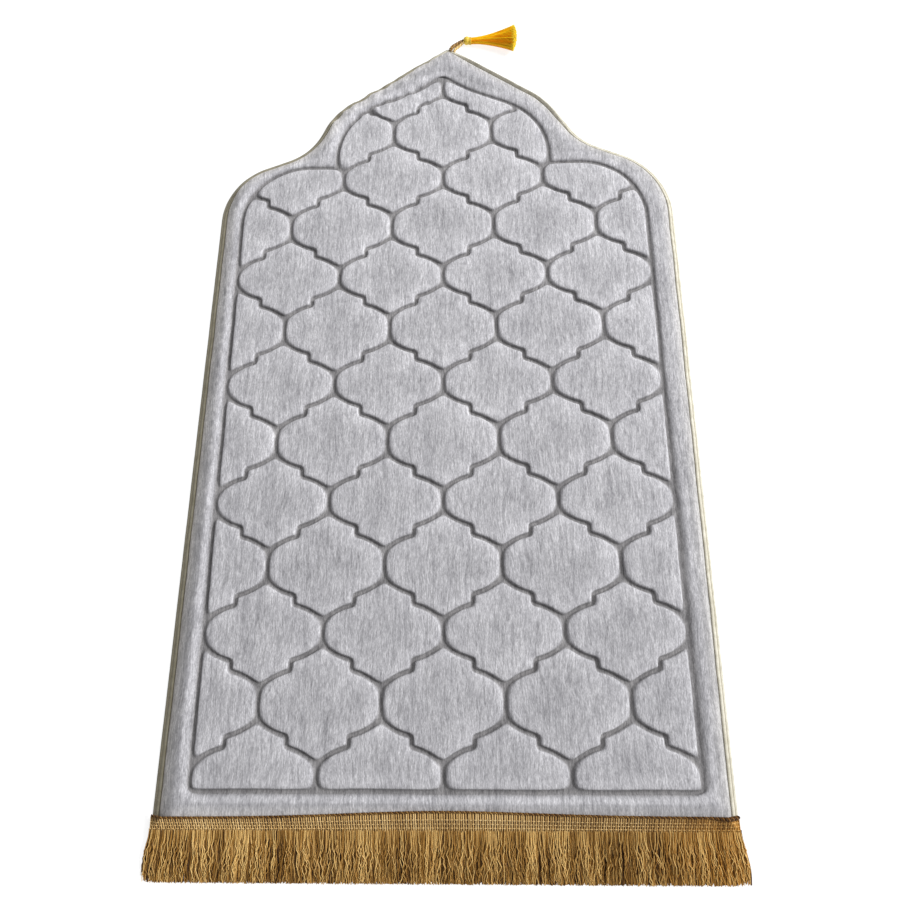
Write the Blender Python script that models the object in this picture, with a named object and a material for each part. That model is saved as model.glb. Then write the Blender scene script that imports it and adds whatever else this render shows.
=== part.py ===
"""Padded prayer rug: embossed trellis pad, bound edge, fringed hem and a tassel at the tip.

The rug lies flat on a surface, underside at Z = 0.  X runs across it and Y along it, from the
fringed hem to the tip of the arch.  Lengths are in metres.  The shapes are laid out from the hem,
which is Y = 0 there, and an empty then brings the middle of the whole object to the origin.
"""
import math
import random

import bmesh
import bpy
from mathutils import Matrix, Vector
from mathutils.geometry import delaunay_2d_cdt

# ---------------------------------------------------------------- driving dimensions

PIECE_GAP = 0.0003            # clearance between pieces that touch

# Trellis: cells with two upright sides and four slanting ones, each with a step halfway.
CELL_WIDTH = 0.146            # between the upright sides of a cell
ROW_PITCH = 0.0807            # from one row of cells to the next
LOWEST_ROW_Y = 0.0587         # middle of the row next to the hem
ROW_COUNT = 13                # the last of them is cut by the tip of the arch
MIDDLE_CELL_SIDE = 0.0366     # upright side in the rows that have a cell on the centre line
BETWEEN_CELL_SIDE = 0.0288    # upright side in the rows between them
STEP_HEIGHT = 0.0120          # upright step halfway along a slanting side
SLANT_SLOPE = 0.80            # rise over run where a slanting side leaves a corner
SLANT_PIECES = 2              # straight pieces in each bowed half of a slanting side

# Corners of half an outline, from the hem up to the tip: distance from the trellis's middle, y and
# fillet radius.  The rug's own outline is uneven, and its two halves differ.
HEM_Y = 0.0025
RUG_RIGHT = (
    (0.3310, HEM_Y, 0.0),
    (0.3340, 0.8765, 0.114),         # shoulder
    (0.2077, 0.9330, 0.083),         # neck between shoulder and arch
    (0.1585, 1.0105, 0.130),         # side of the arch
)
RUG_LEFT = (
    (0.3360, HEM_Y, 0.0),
    (0.3265, 0.8765, 0.094),
    (0.2000, 0.9230, 0.085),
    (0.1680, 0.9960, 0.098),
)
RUG_TIP = (0.0090, 1.1160)    # the tip leans a little to the right
ARCH_FOOT = (0.1570, 0.8872)  # on the slanting groove that leaves the trellis there
PANEL_CORNERS = (             # its two halves are alike
    (2 * CELL_WIDTH, LOWEST_ROW_Y - BETWEEN_CELL_SIDE / 2, 0.0),
    (2 * CELL_WIDTH, ARCH_FOOT[1], 0.092),
    (ARCH_FOOT[0], ARCH_FOOT[1], 0.0),
    (ARCH_FOOT[0], 0.9736, 0.103),
    (0.0360, 1.0245, 0.208),
)
PANEL_TIP = (0.0, 1.0510)
ARC_STEP = math.radians(8.0)

# Heights of the pad above the surface it lies on.
GROOVE_FLOOR = 0.0100
EDGE_HEIGHT = 0.0050          # of the pad's outer wall
BINDING_WIDTH = 0.0080
CELL_RINGS = (                # inset, rise: from a groove's line up to a cell's flat top
    (0.0030, 0.0040),
    (0.0022, 0.0013),
)
BORDER_INNER_RINGS = (        # outset, rise: from the panel's groove up to the border's top
    (0.0030, 0.0045),
    (0.0030, 0.0015),
)
BORDER_OUTER_RINGS = (        # inset, rise: from the pad's outer wall up to the border's top
    (0.0022, 0.0045),
    (0.0044, 0.0040),
    (0.0054, 0.0025),
)
MEETING_CLEARANCE = 0.0100    # no bend nearer than this to where a groove meets the panel's edge
SAME_POINT = 0.0002
SAME_HEIGHT = 0.00001

# Binding: a narrow rolled lip round the pad's edge.
BINDING_SECTION = (           # outset from the pad's wall, height
    (0.0000, 0.0000),
    (0.0076, 0.0000),
    (0.0080, 0.0018),
    (0.0066, 0.0042),
    (0.0040, 0.0052),
    (0.0010, 0.0043),
    (0.0000, 0.0030),
)

# Fringe: a woven heading over the hem, with locks that run out on the surface.
HEM_MIDDLE_X = (RUG_RIGHT[0][0] - RUG_LEFT[0][0]) / 2
HEM_HALF_WIDTH = (RUG_RIGHT[0][0] + RUG_LEFT[0][0]) / 2
HEADING_SECTION = (           # distance in from the rug's outline, height of the underside
    (0.0208, 0.0165),
    (0.0149, 0.0144),
    (0.0104, 0.0106),
    (0.0070, 0.0079),
    (0.0040, 0.0059),
    (0.0010, 0.0047),
)
HEADING_LIP = (0.0030, 0.0030)       # out past the outline and height, where the locks leave it
HEADING_THICKNESS = 0.0012
LOCK_PITCH = 0.0037
LOCK_REACH = 0.0540           # of the locks' tips out past the outline
LOCK_SECTIONS = (             # share of the reach, top, width as a share of the locks' pitch
    (0.20, 0.0044, 0.72),
    (0.58, 0.0036, 0.78),
    (1.00, 0.0016, 0.60),
)
LOCK_WAVE = 0.0009            # sideways wave of the locks
LOCK_WAVE_STEPS = (0.55, 0.43, 0.61)     # radians of that wave from lock to lock, by section
LOCK_FLARE = 0.0075           # how far the outermost locks spread to the side
FLARE_POWER = 9               # the spread stays near the two ends
LOCK_UNEVENNESS = 0.04        # share by which the locks' lengths differ

# Tassel: a hanging loop, a tied head and a skirt of locks, lying to the right of the tip.
TASSEL_ROOT = (0.0430, 1.1262)       # where the skirt leaves the head
TASSEL_TURN = math.radians(-3.0)     # of the tassel from straight across the rug
HEAD_MIDDLE_Z = 0.0048
HEAD_RINGS = (                # distance back from the skirt's root, half width, half height
    (0.0000, 0.0050, 0.0044),
    (0.0012, 0.0036, 0.0034),
    (0.0032, 0.0047, 0.0047),
    (0.0056, 0.0046, 0.0046),
    (0.0076, 0.0026, 0.0026),
)
SKIRT_COLUMNS = 7             # locks across the skirt
SKIRT_LAYERS = 5              # locks above each other
SKIRT_LENGTH = 0.0740
SKIRT_END = (0.0480, 0.0240)  # width, height
SKIRT_NARROWING = 0.35        # share by which its top is narrower than its bottom
SKIRT_LOCK_FILL = 0.78        # of the room that each lock has at its tip
SKIRT_SECTIONS = (            # share of the length, share of the spread
    (0.20, 0.28),
    (0.60, 0.68),
    (1.00, 1.00),
)
SKIRT_ROOT_GAP = 0.00014      # round each lock where it leaves the head
LOOP_RADIUS = 0.0015          # of the loop's cord
LOOP_LEGS = (                 # from the seam, over the binding, to the head
    (
        (0.0100, 1.1078, 0.0070),
        (0.0125, 1.1096, 0.0073),
        (0.0165, 1.1128, 0.0070),
        (0.0205, 1.1162, 0.0054),
        (0.0255, 1.1206, 0.0047),
        (0.0305, 1.1244, 0.0047),
    ),
    (
        (0.0222, 1.0996, 0.0070),
        (0.0236, 1.1024, 0.0073),
        (0.0247, 1.1064, 0.0070),
        (0.0258, 1.1108, 0.0054),
        (0.0285, 1.1164, 0.0047),
        (0.0328, 1.1213, 0.0047),
    ),
)
LOOP_BEND_STEPS = 4

RUG_COLOUR = (0.60, 0.60, 0.61, 1.0)
BINDING_COLOUR = (0.66, 0.63, 0.55, 1.0)
FRINGE_COLOUR = (0.50, 0.30, 0.09, 1.0)
TASSEL_COLOUR = (0.85, 0.45, 0.02, 1.0)
LOOP_COLOUR = (0.55, 0.33, 0.10, 1.0)


# ---------------------------------------------------------------- outlines

def rounded(right, tip, left):
    """Turn both halves' corners and the tip into the points of the whole closed outline."""
    mirrored = [(-x, y, radius) for x, y, radius in reversed(left)]
    ring = list(right) + [(tip[0], tip[1], 0.0)] + mirrored
    points = []
    for index, (x, y, radius) in enumerate(ring):
        corner = Vector((x, y))
        before = Vector(ring[index - 1][:2])
        after = Vector(ring[(index + 1) % len(ring)][:2])
        if radius:
            points.extend(fillet(before, corner, after, radius))
        else:
            points.append(corner)
    return points


def fillet(before, corner, after, radius):
    """Points along the arc that rounds a corner."""
    arriving = (corner - before).normalized()
    leaving = (after - corner).normalized()
    turn = arriving.angle_signed(leaving)
    tangent = radius * math.tan(abs(turn) / 2)
    start = corner - arriving * tangent
    side = math.copysign(1.0, -turn)
    centre = start + Vector((-arriving.y, arriving.x)) * radius * side
    steps = max(2, math.ceil(abs(turn) / ARC_STEP))
    spoke = start - centre
    return [centre + Matrix.Rotation(-turn * step / steps, 2) @ spoke for step in range(steps + 1)]


def moved_out(points, distance):
    """Move an outline's points straight out by a distance, or in by a negative one."""
    result = []
    for index, point in enumerate(points):
        arriving = (point - points[index - 1]).normalized()
        leaving = (points[(index + 1) % len(points)] - point).normalized()
        normal = Vector((arriving.y + leaving.y, -arriving.x - leaving.x)).normalized()
        reach = distance / normal.dot(Vector((arriving.y, -arriving.x)))
        result.append(point + normal * reach)
    return result


# ---------------------------------------------------------------- trellis

def cell_outline(middle_x, middle_y, side, next_side):
    """Outline of one trellis cell, given its own upright sides and those of the next rows."""
    run = CELL_WIDTH / 4
    rise = ROW_PITCH - (side + next_side) / 2
    climb = (rise - STEP_HEIGHT) / 2
    bow = (SLANT_SLOPE * run - climb) / run ** 2
    lower_half = []
    for piece in range(SLANT_PIECES + 1):
        x = run * piece / SLANT_PIECES
        lower_half.append((x, SLANT_SLOPE * x - bow * x * x))
    upper_half = [(2 * run - x, rise - y) for x, y in reversed(lower_half)]
    quarter = [(CELL_WIDTH / 2 - x, side / 2 + y) for x, y in lower_half + upper_half]
    half = quarter + [(-x, y) for x, y in reversed(quarter[:-1])]
    whole = half + [(-x, -y) for x, y in half[:-1]] + [(-half[-1][0], -half[-1][1])]
    return [Vector((middle_x + x, middle_y + y)) for x, y in whole]


def trellis_cells():
    """Outlines of all the cells that the panel may hold."""
    outlines = []
    for row in range(ROW_COUNT):
        on_centre = row % 2 == 1
        side = MIDDLE_CELL_SIDE if on_centre else BETWEEN_CELL_SIDE
        next_side = BETWEEN_CELL_SIDE if on_centre else MIDDLE_CELL_SIDE
        shifts = (-2, -1, 0, 1, 2) if on_centre else (-1.5, -0.5, 0.5, 1.5)
        for shift in shifts:
            outlines.append(
                cell_outline(shift * CELL_WIDTH, LOWEST_ROW_Y + row * ROW_PITCH, side, next_side))
    return outlines


def add_panel(bm):
    """Add the panel's cells as flat faces that meet along the grooves' lines."""
    outlines = [rounded(PANEL_CORNERS, PANEL_TIP, PANEL_CORNERS)] + trellis_cells()
    points, polygons = [], []
    for outline in outlines:
        polygons.append(list(range(len(points), len(points) + len(outline))))
        points.extend(outline)
    spots, _, regions, _, _, sources = delaunay_2d_cdt(points, [], polygons, 3, SAME_POINT)
    verts = {}
    cells, floor = [], []
    for region, source in zip(regions, sources):
        if 0 not in source:
            continue
        for spot in region:
            if spot not in verts:
                verts[spot] = bm.verts.new((spots[spot].x, spots[spot].y, GROOVE_FLOOR))
        face = bm.faces.new([verts[spot] for spot in region])
        (cells if len(source) > 1 else floor).append(face)
    dissolve_near_meetings(bm)
    return cells, floor


def dissolve_near_meetings(bm):
    """Drop the bends that crowd the places where a groove meets the panel's edge."""
    crowded = []
    for vert in bm.verts:
        if len(vert.link_edges) != 2:
            continue
        behind, ahead = (edge.other_vert(vert).co - vert.co for edge in vert.link_edges)
        panel_corner = vert.is_boundary and ahead.angle(-behind) > 2 * ARC_STEP
        for edge in vert.link_edges:
            other = edge.other_vert(vert)
            meets = len(other.link_edges) > 2 and other.is_boundary
            if meets and edge.calc_length() < MEETING_CLEARANCE and not panel_corner:
                crowded.append(vert)
    bmesh.ops.dissolve_verts(bm, verts=list(set(crowded)))


def boundary_ring(cells):
    """The verts round the panel, in order, with the panel on the left."""
    following = {}
    for cell in cells:
        for loop in cell.loops:
            if len(loop.edge.link_faces) == 1:
                following[loop.vert] = loop.link_loop_next.vert
    start = next(iter(following))
    ring = [start]
    while following[ring[-1]] is not start:
        ring.append(following[ring[-1]])
    return ring


def add_ring(bm, ring, points, height):
    """Add a ring of verts at a height and join it to an earlier ring with as many verts."""
    new = [bm.verts.new((point.x, point.y, height)) for point in points]
    for index in range(len(ring)):
        bm.faces.new((ring[index - 1], new[index - 1], new[index], ring[index]))
    return new


# ---------------------------------------------------------------- pieces

def build_pad():
    """The padded plush body with its raised cells and plump border."""
    bm = bmesh.new()
    cells, floor = add_panel(bm)
    ring = boundary_ring(cells + floor)
    line = [vert.co.xy for vert in ring]
    outset, height = 0.0, GROOVE_FLOOR
    for step, rise in BORDER_INNER_RINGS:
        outset += step
        height += rise
        ring = add_ring(bm, ring, moved_out(line, outset), height)
    inner_edges = [bm.edges.get((ring[index - 1], ring[index])) for index in range(len(ring))]

    outline = moved_out(rounded(RUG_RIGHT, RUG_TIP, RUG_LEFT), -BINDING_WIDTH - PIECE_GAP)
    base = bm.faces.new([bm.verts.new((point.x, point.y, 0.0)) for point in outline])
    walls = bmesh.ops.extrude_face_region(bm, geom=[base], use_keep_orig=True)
    top = next(item for item in walls["geom"] if isinstance(item, bmesh.types.BMFace))
    bmesh.ops.translate(bm, verts=top.verts, vec=(0, 0, EDGE_HEIGHT))
    base.normal_flip()
    for inset, rise in BORDER_OUTER_RINGS:
        bmesh.ops.inset_region(bm, faces=[top], thickness=inset, depth=rise, use_even_offset=True)
    outer_edges = list(top.edges)
    bmesh.ops.delete(bm, geom=[top], context="FACES_ONLY")
    bmesh.ops.triangle_fill(bm, edges=inner_edges + outer_edges, normal=(0, 0, 1))

    for inset, rise in CELL_RINGS:
        bmesh.ops.inset_individual(bm, faces=cells, thickness=inset, depth=rise,
                                   use_even_offset=True)
    bmesh.ops.recalc_face_normals(bm, faces=bm.faces)
    return finish_piece("rug_pad", bm, RUG_COLOUR, 0.95)


def build_binding():
    """The rolled lip that runs all round the pad, a hair's breadth outside its wall."""
    bm = bmesh.new()
    wall = moved_out(rounded(RUG_RIGHT, RUG_TIP, RUG_LEFT), -BINDING_WIDTH)
    rings = []
    for outset, height in BINDING_SECTION:
        points = moved_out(wall, outset)
        rings.append([bm.verts.new((point.x, point.y, height)) for point in points])
    for lower, upper in zip(rings, rings[1:] + rings[:1]):
        for index in range(len(lower)):
            bm.faces.new((lower[index - 1], lower[index], upper[index], upper[index - 1]))
    return finish_piece("edge_binding", bm, BINDING_COLOUR, 0.8)


def build_fringe():
    """The woven heading that lies over the hem, with its locks fused in at their roots."""
    bm = bmesh.new()
    inward = [distance for distance, _ in HEADING_SECTION]
    reaches = [HEM_HALF_WIDTH - distance for distance in inward]
    columns = [HEM_MIDDLE_X + reach for reach in [-reach for reach in reversed(reaches)] + reaches]
    rows = [HEM_Y + distance for distance in inward] + [HEM_Y - HEADING_LIP[0]]
    lower, upper = [], []
    for y in rows:
        heights = [heading_height(HEM_HALF_WIDTH - abs(x - HEM_MIDDLE_X), y - HEM_Y) for x in columns]
        lower.append([bm.verts.new((x, y, z)) for x, z in zip(columns, heights)])
        upper.append([bm.verts.new((x, y, z + HEADING_THICKNESS)) for x, z in zip(columns, heights)])
    for row in range(len(rows) - 1):
        for column in range(len(columns) - 1):
            for sheet, turned in ((lower, 1), (upper, -1)):
                add_ridged_quad(bm, [sheet[row][column], sheet[row][column + 1],
                                     sheet[row + 1][column + 1], sheet[row + 1][column]][::turned])
    rim = [(row, 0) for row in range(len(rows))]
    rim += [(len(rows) - 1, column) for column in range(1, len(columns))]
    rim += [(row, len(columns) - 1) for row in range(len(rows) - 2, -1, -1)]
    rim += [(0, column) for column in range(len(columns) - 2, 0, -1)]
    for (row, column), (next_row, next_column) in zip(rim, rim[1:] + rim[:1]):
        bm.faces.new((upper[row][column], lower[row][column],
                      lower[next_row][next_column], upper[next_row][next_column]))
    grow_locks(bm, lock_roots(bm, rows[-1]))
    return finish_piece("fringe", bm, FRINGE_COLOUR, 0.6)


def heading_height(from_side, from_hem):
    """Height of the heading's underside, by its distance in from the rug's side and its hem."""
    if from_hem < 0:
        return HEADING_LIP[1]
    inward = min(from_side, from_hem)
    for (far, high), (near, low) in zip(HEADING_SECTION, HEADING_SECTION[1:]):
        if inward > near:
            return low + (high - low) * min(1.0, (inward - near) / (far - near))
    return HEADING_SECTION[-1][1]


def add_ridged_quad(bm, corners):
    """Add a four-cornered piece, folded on the higher of its diagonals where it isn't flat."""
    heights = [corner.co.z for corner in corners]
    fold = heights[0] + heights[2] - heights[1] - heights[3]
    if abs(fold) < SAME_HEIGHT:
        bm.faces.new(corners)
        return
    if fold < 0:
        corners = corners[1:] + corners[:1]
    bm.faces.new((corners[0], corners[1], corners[2]))
    bm.faces.new((corners[2], corners[3], corners[0]))


def faces_at(bm, lip_y):
    """The upright faces along the heading's lip, from left to right."""
    faces = [face for face in bm.faces
             if all(abs(vert.co.y - lip_y) < SAME_HEIGHT for vert in face.verts)]
    return sorted(faces, key=lambda face: face.calc_center_median().x)


def lock_roots(bm, lip_y):
    """Cut the heading's lip into roots and spaces, and give the roots from left to right."""
    for face in faces_at(bm, lip_y):
        long_edges = [edge for edge in face.edges
                      if abs(edge.verts[0].co.x - edge.verts[1].co.x) > SAME_HEIGHT]
        count = round(long_edges[0].calc_length() / LOCK_PITCH)
        if count:
            bmesh.ops.subdivide_edges(bm, edges=long_edges, cuts=2 * count, use_grid_fill=True)
    return faces_at(bm, lip_y)[1::2]


def grow_locks(bm, roots):
    """Pull every lock out of its root and lay it on the surface."""
    starts = [root.calc_center_median() for root in roots]
    pitches = [2 * (max(vert.co.x for vert in root.verts) - min(vert.co.x for vert in root.verts))
               for root in roots]
    evenness = random.Random(5)
    reaches = [LOCK_REACH * (1 - LOCK_UNEVENNESS * evenness.random()) for _ in roots]
    for (share, top, fill), wave_step in zip(LOCK_SECTIONS, LOCK_WAVE_STEPS):
        grown = bmesh.ops.extrude_discrete_faces(bm, faces=roots)["faces"]
        roots = sorted(grown, key=lambda face: face.calc_center_median().x)
        for index, root in enumerate(roots):
            start = starts[index]
            from_middle = start.x - HEM_MIDDLE_X
            outwards = (abs(from_middle) / HEM_HALF_WIDTH) ** FLARE_POWER
            spread = math.copysign(LOCK_FLARE * outwards, from_middle)
            wave = LOCK_WAVE * (1 - outwards) * math.sin(index * wave_step)
            x = start.x + share * (spread + wave)
            y = HEM_Y - share * reaches[index]
            middle = root.calc_center_median()
            for vert in root.verts:
                side = math.copysign(fill * pitches[index] / 2, vert.co.x - middle.x)
                vert.co = (x + side, y, top if vert.co.z > middle.z else 0.0)


def build_tassel():
    """The tied head and the skirt, whose locks are fused into the head at their roots.

    It is made standing, with the skirt upwards from the head, and then laid on its side.
    """
    bm = bmesh.new()
    bmesh.ops.create_grid(bm, x_segments=SKIRT_COLUMNS, y_segments=SKIRT_LAYERS, size=1.0)
    roots = list(bm.faces)
    places = [root.calc_center_median() for root in roots]
    for vert in bm.verts:
        x, y, _ = vert.co
        vert.co = (x * math.sqrt(1 - y ** 2 / 2), y * math.sqrt(1 - x ** 2 / 2), 0.0)
    ring = [edge for edge in bm.edges if edge.is_boundary]
    _, wide, high = HEAD_RINGS[0]
    bmesh.ops.scale(bm, vec=(wide, high, 1.0), verts=bm.verts)
    for (back, wide, high), (next_back, next_wide, next_high) in zip(HEAD_RINGS, HEAD_RINGS[1:]):
        pulled = bmesh.ops.extrude_edge_only(bm, edges=ring)["geom"]
        verts = [item for item in pulled if isinstance(item, bmesh.types.BMVert)]
        ring = [item for item in pulled if isinstance(item, bmesh.types.BMEdge)]
        bmesh.ops.scale(bm, vec=(next_wide / wide, next_high / high, 1.0), verts=verts)
        bmesh.ops.translate(bm, vec=(0.0, 0.0, back - next_back), verts=verts)
    bmesh.ops.edgeloop_fill(bm, edges=ring)
    bmesh.ops.inset_individual(bm, faces=roots, thickness=SKIRT_ROOT_GAP, use_even_offset=True)
    for root, place in zip(roots, places):
        grow_skirt_lock(bm, root, place)
    bmesh.ops.recalc_face_normals(bm, faces=bm.faces)
    lying = Matrix(((0, 0, 1, 0), (1, 0, 0, 0), (0, 1, 0, 0), (0, 0, 0, 1)))
    seat = Matrix.Translation((*TASSEL_ROOT, HEAD_MIDDLE_Z)) @ Matrix.Rotation(TASSEL_TURN, 4, "Z")
    bmesh.ops.transform(bm, matrix=seat @ lying, verts=bm.verts)
    return finish_piece("tassel", bm, TASSEL_COLOUR, 0.5)


def grow_skirt_lock(bm, root, place):
    """Pull one lock of the skirt out of its root.

    The place is that of the lock in the skirt, from -1 to 1 across it and from bottom to top.
    """
    level = (place.y + 1) / 2
    narrowing = 1 - SKIRT_NARROWING * level ** 2
    half_width = SKIRT_LOCK_FILL * narrowing * SKIRT_END[0] / SKIRT_COLUMNS / 2
    half_height = SKIRT_LOCK_FILL * SKIRT_END[1] / SKIRT_LAYERS / 2
    lowest = half_height - HEAD_MIDDLE_Z
    across = place.x * narrowing * SKIRT_END[0] / 2
    up = lowest + (level - 0.5 / SKIRT_LAYERS) * SKIRT_END[1]
    middle = root.calc_center_median()
    journeys = []
    for vert in root.verts:
        tip = Vector((across + math.copysign(half_width, vert.co.x - middle.x),
                      up + math.copysign(half_height, vert.co.y - middle.y), SKIRT_LENGTH))
        journeys.append((vert.co.copy(), tip))
    for share, spread in SKIRT_SECTIONS:
        root = bmesh.ops.extrude_discrete_faces(bm, faces=[root])["faces"][0]
        for vert, (start, tip) in zip(root.verts, journeys):
            vert.co = start.lerp(tip, spread)
            vert.co.z = share * SKIRT_LENGTH


def build_loop():
    """The cord that the tassel hangs by: two legs from the seam at the tip, joined at the head."""
    left, right = ([Vector(point) for point in leg] for leg in LOOP_LEGS)
    middle = (left[-1] + right[-1]) / 2
    across = left[-1] - middle
    ahead = Vector((across.y, -across.x, 0.0))
    bend = []
    for step in range(1, LOOP_BEND_STEPS):
        angle = math.pi * step / LOOP_BEND_STEPS
        bend.append(middle + across * math.cos(angle) + ahead * math.sin(angle))
    points = left + bend + right[::-1]
    curve = bpy.data.curves.new("tassel_loop", "CURVE")
    curve.dimensions = "3D"
    curve.bevel_depth = LOOP_RADIUS
    curve.bevel_resolution = 2
    curve.use_fill_caps = True
    spline = curve.splines.new("POLY")
    spline.points.add(len(points) - 1)
    for spot, point in zip(spline.points, points):
        spot.co = (*point, 1.0)
    piece = bpy.data.objects.new("tassel_loop", curve)
    return add_piece(piece, LOOP_COLOUR, 0.6)


def finish_piece(name, bm, colour, roughness):
    """Turn a finished shape into a named object."""
    mesh = bpy.data.meshes.new(name)
    bm.to_mesh(mesh)
    bm.free()
    return add_piece(bpy.data.objects.new(name, mesh), colour, roughness)


def add_piece(piece, colour, roughness):
    """Put an object in the scene with a material of its own."""
    bpy.context.collection.objects.link(piece)
    material = bpy.data.materials.new(piece.name)
    material.use_nodes = True
    surface = material.node_tree.nodes["Principled BSDF"]
    surface.inputs["Base Color"].default_value = colour
    surface.inputs["Roughness"].default_value = roughness
    surface.inputs["Metallic"].default_value = 0.0
    piece.data.materials.append(material)
    return piece


def clear_scene():
    for item in list(bpy.data.objects):
        bpy.data.objects.remove(item, do_unlink=True)


def middle_of(pieces):
    """Middle of the pieces' common box on the surface."""
    spots = [vert.co for piece in pieces for vert in piece.data.vertices]
    lowest = [min(spot[axis] for spot in spots) for axis in range(2)]
    highest = [max(spot[axis] for spot in spots) for axis in range(2)]
    return Vector(((lowest[0] + highest[0]) / 2, (lowest[1] + highest[1]) / 2, 0.0))


def main():
    clear_scene()
    layout = bpy.data.objects.new("layout", None)
    bpy.context.collection.objects.link(layout)
    reaching = [build_pad(), build_binding(), build_fringe(), build_tassel()]
    layout.location = -middle_of(reaching)
    for piece in reaching + [build_loop()]:
        piece.parent = layout


main()
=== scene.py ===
"""Looks of the padded prayer rug: embossed plush, rolled lip, gold fringe, tassel and its loop.

Lengths are in metres.  Pieces are built from the middle of the hem line, and ORIGIN is that point
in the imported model's frame.
"""
import math
import random

import bmesh
import bpy
import numpy as np
from mathutils import Matrix, Vector, noise
from mathutils.geometry import delaunay_2d_cdt
from mathutils.kdtree import KDTree


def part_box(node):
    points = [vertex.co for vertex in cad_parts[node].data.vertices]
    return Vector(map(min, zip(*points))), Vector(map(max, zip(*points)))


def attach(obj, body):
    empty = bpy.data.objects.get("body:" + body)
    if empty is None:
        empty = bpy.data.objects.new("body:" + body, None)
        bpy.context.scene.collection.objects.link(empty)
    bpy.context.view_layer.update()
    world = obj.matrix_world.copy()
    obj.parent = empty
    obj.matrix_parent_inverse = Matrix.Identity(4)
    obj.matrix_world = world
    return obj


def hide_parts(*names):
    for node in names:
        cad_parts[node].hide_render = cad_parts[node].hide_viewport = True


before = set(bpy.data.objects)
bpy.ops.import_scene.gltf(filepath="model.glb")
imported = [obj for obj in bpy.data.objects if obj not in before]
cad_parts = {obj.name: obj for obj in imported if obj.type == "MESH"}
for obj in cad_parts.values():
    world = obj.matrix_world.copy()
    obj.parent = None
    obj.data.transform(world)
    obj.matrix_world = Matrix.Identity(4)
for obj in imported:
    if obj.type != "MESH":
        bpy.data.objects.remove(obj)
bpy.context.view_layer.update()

# ---------------------------------------------------------------- sizes

HEM_Y = 0.0025                # the lip's outer edge at the hem, from the hem line
HEM_RIGHT = 0.3310
HEM_LEFT = 0.3360
LIP_LOW, LIP_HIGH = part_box("edge_binding")
ORIGIN = Vector((LIP_LOW.x + HEM_LEFT, LIP_LOW.y - HEM_Y, 0.0))
PIECE_GAP = 0.0003
LIP_WIDTH = 0.0090

# Trellis of cells with upright sides and bowed, stepped slants.
CELL_WIDTH = 0.146
ROW_PITCH = 0.0807
LOWEST_ROW_Y = 0.0587
ROW_COUNT = 13
MIDDLE_CELL_SIDE = 0.0366
BETWEEN_CELL_SIDE = 0.0288
STEP_HEIGHT = 0.0120
SLANT_SLOPE = 0.80
SLANT_PIECES = 6

RUG_RIGHT = (                 # distance from the middle, y, fillet radius
    (HEM_RIGHT, HEM_Y, 0.0),
    (0.3340, 0.8765, 0.114),
    (0.2077, 0.9330, 0.083),
    (0.1585, 1.0105, 0.130),
)
RUG_LEFT = (
    (HEM_LEFT, HEM_Y, 0.0),
    (0.3265, 0.8765, 0.094),
    (0.2000, 0.9230, 0.085),
    (0.1680, 0.9960, 0.098),
)
RUG_TIP = (0.0090, 1.1160)
ARCH_FOOT = (0.1570, 0.8872)
PANEL_CORNERS = (
    (2 * CELL_WIDTH, LOWEST_ROW_Y - BETWEEN_CELL_SIDE / 2, 0.0),
    (2 * CELL_WIDTH, ARCH_FOOT[1], 0.092),
    (ARCH_FOOT[0], ARCH_FOOT[1], 0.0),
    (ARCH_FOOT[0], 0.9736, 0.103),
    (0.0360, 1.0245, 0.208),
)
PANEL_TIP = (0.0, 1.0510)
ARC_STEP = math.radians(5.0)
LONGEST_RUN = 0.0085          # longest straight piece of an outline
SHARP_TURN = math.radians(20.0)
SHORTEST_RUN = 0.0010         # of an outline that was moved in or out
MOST_FOLDED = 8               # points beside a sharp corner that may fold into it

# Heights of the plush.  A ring is rounded off by some rounds of smoothing in plan.
GROOVE_FLOOR = 0.0110
WALL_TOP = 0.0064
CELL_RINGS = (                # inset, rise, rounds
    (0.0021, 0.0001, 0),
    (0.0005, 0.0022, 2),
    (0.0009, 0.0014, 3),
    (0.0014, 0.0007, 4),
)
CELL_SHOULDER = (0.0034, 0.0007)
BORDER_INNER_RINGS = (        # outset, rise, rounds
    (0.0020, 0.0001, 0),
    (0.0006, 0.0015, 1),
    (0.0016, 0.0012, 2),
    (0.0028, 0.0008, 3),
)
BORDER_OUTER_RINGS = (        # inset, rise
    (0.0003, 0.0012),
    (0.0012, 0.0024),
    (0.0024, 0.0022),
    (0.0030, 0.0015),
    (0.0032, 0.0009),
)
RIM_TOP = GROOVE_FLOOR + sum(rise for _, rise, _ in CELL_RINGS) + CELL_SHOULDER[1]
GROOVE_WIDENING = 0.0060      # of the frame's groove towards the right end of the hem
WIDENING_X = (0.280, 0.292)
WIDENING_Y = (0.62, 0.25)
UPRIGHT_TURN = (math.radians(30), math.radians(65))   # an outline's turn at an upright side's end
UPRIGHT_GIVE = (1.0, 0.9, 0.4)            # rounding off at such an end and at the next places
MEETING_GIVE = 0.35                       # and at the other meetings of grooves
MEETING_CLEARANCE = 0.0100
SAME_POINT = 0.0002
SAME_HEIGHT = 0.00001
TOP_SPACING = 0.0150          # of the points inside a cell
BORDER_SPACING = 0.0080
RIM_STEP = 0.0020
BACK_SPACING = 0.0300
CELL_CROWN = (0.0006, 0.0150)             # how much the middle stands up, over what distance
BORDER_CROWN = (0.0044, 0.0095)
UNEVENNESS = (                # of the padding: amount, size
    (0.0007, 0.060),
    (0.0003, 0.019),
)
FIRM_BELOW = 0.0040           # height under which the padding hardly gives
CRUMPLE = (0.0030, 0.014)     # unevenness of the arch's left edge
CRUMPLE_FROM = 0.960

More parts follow.
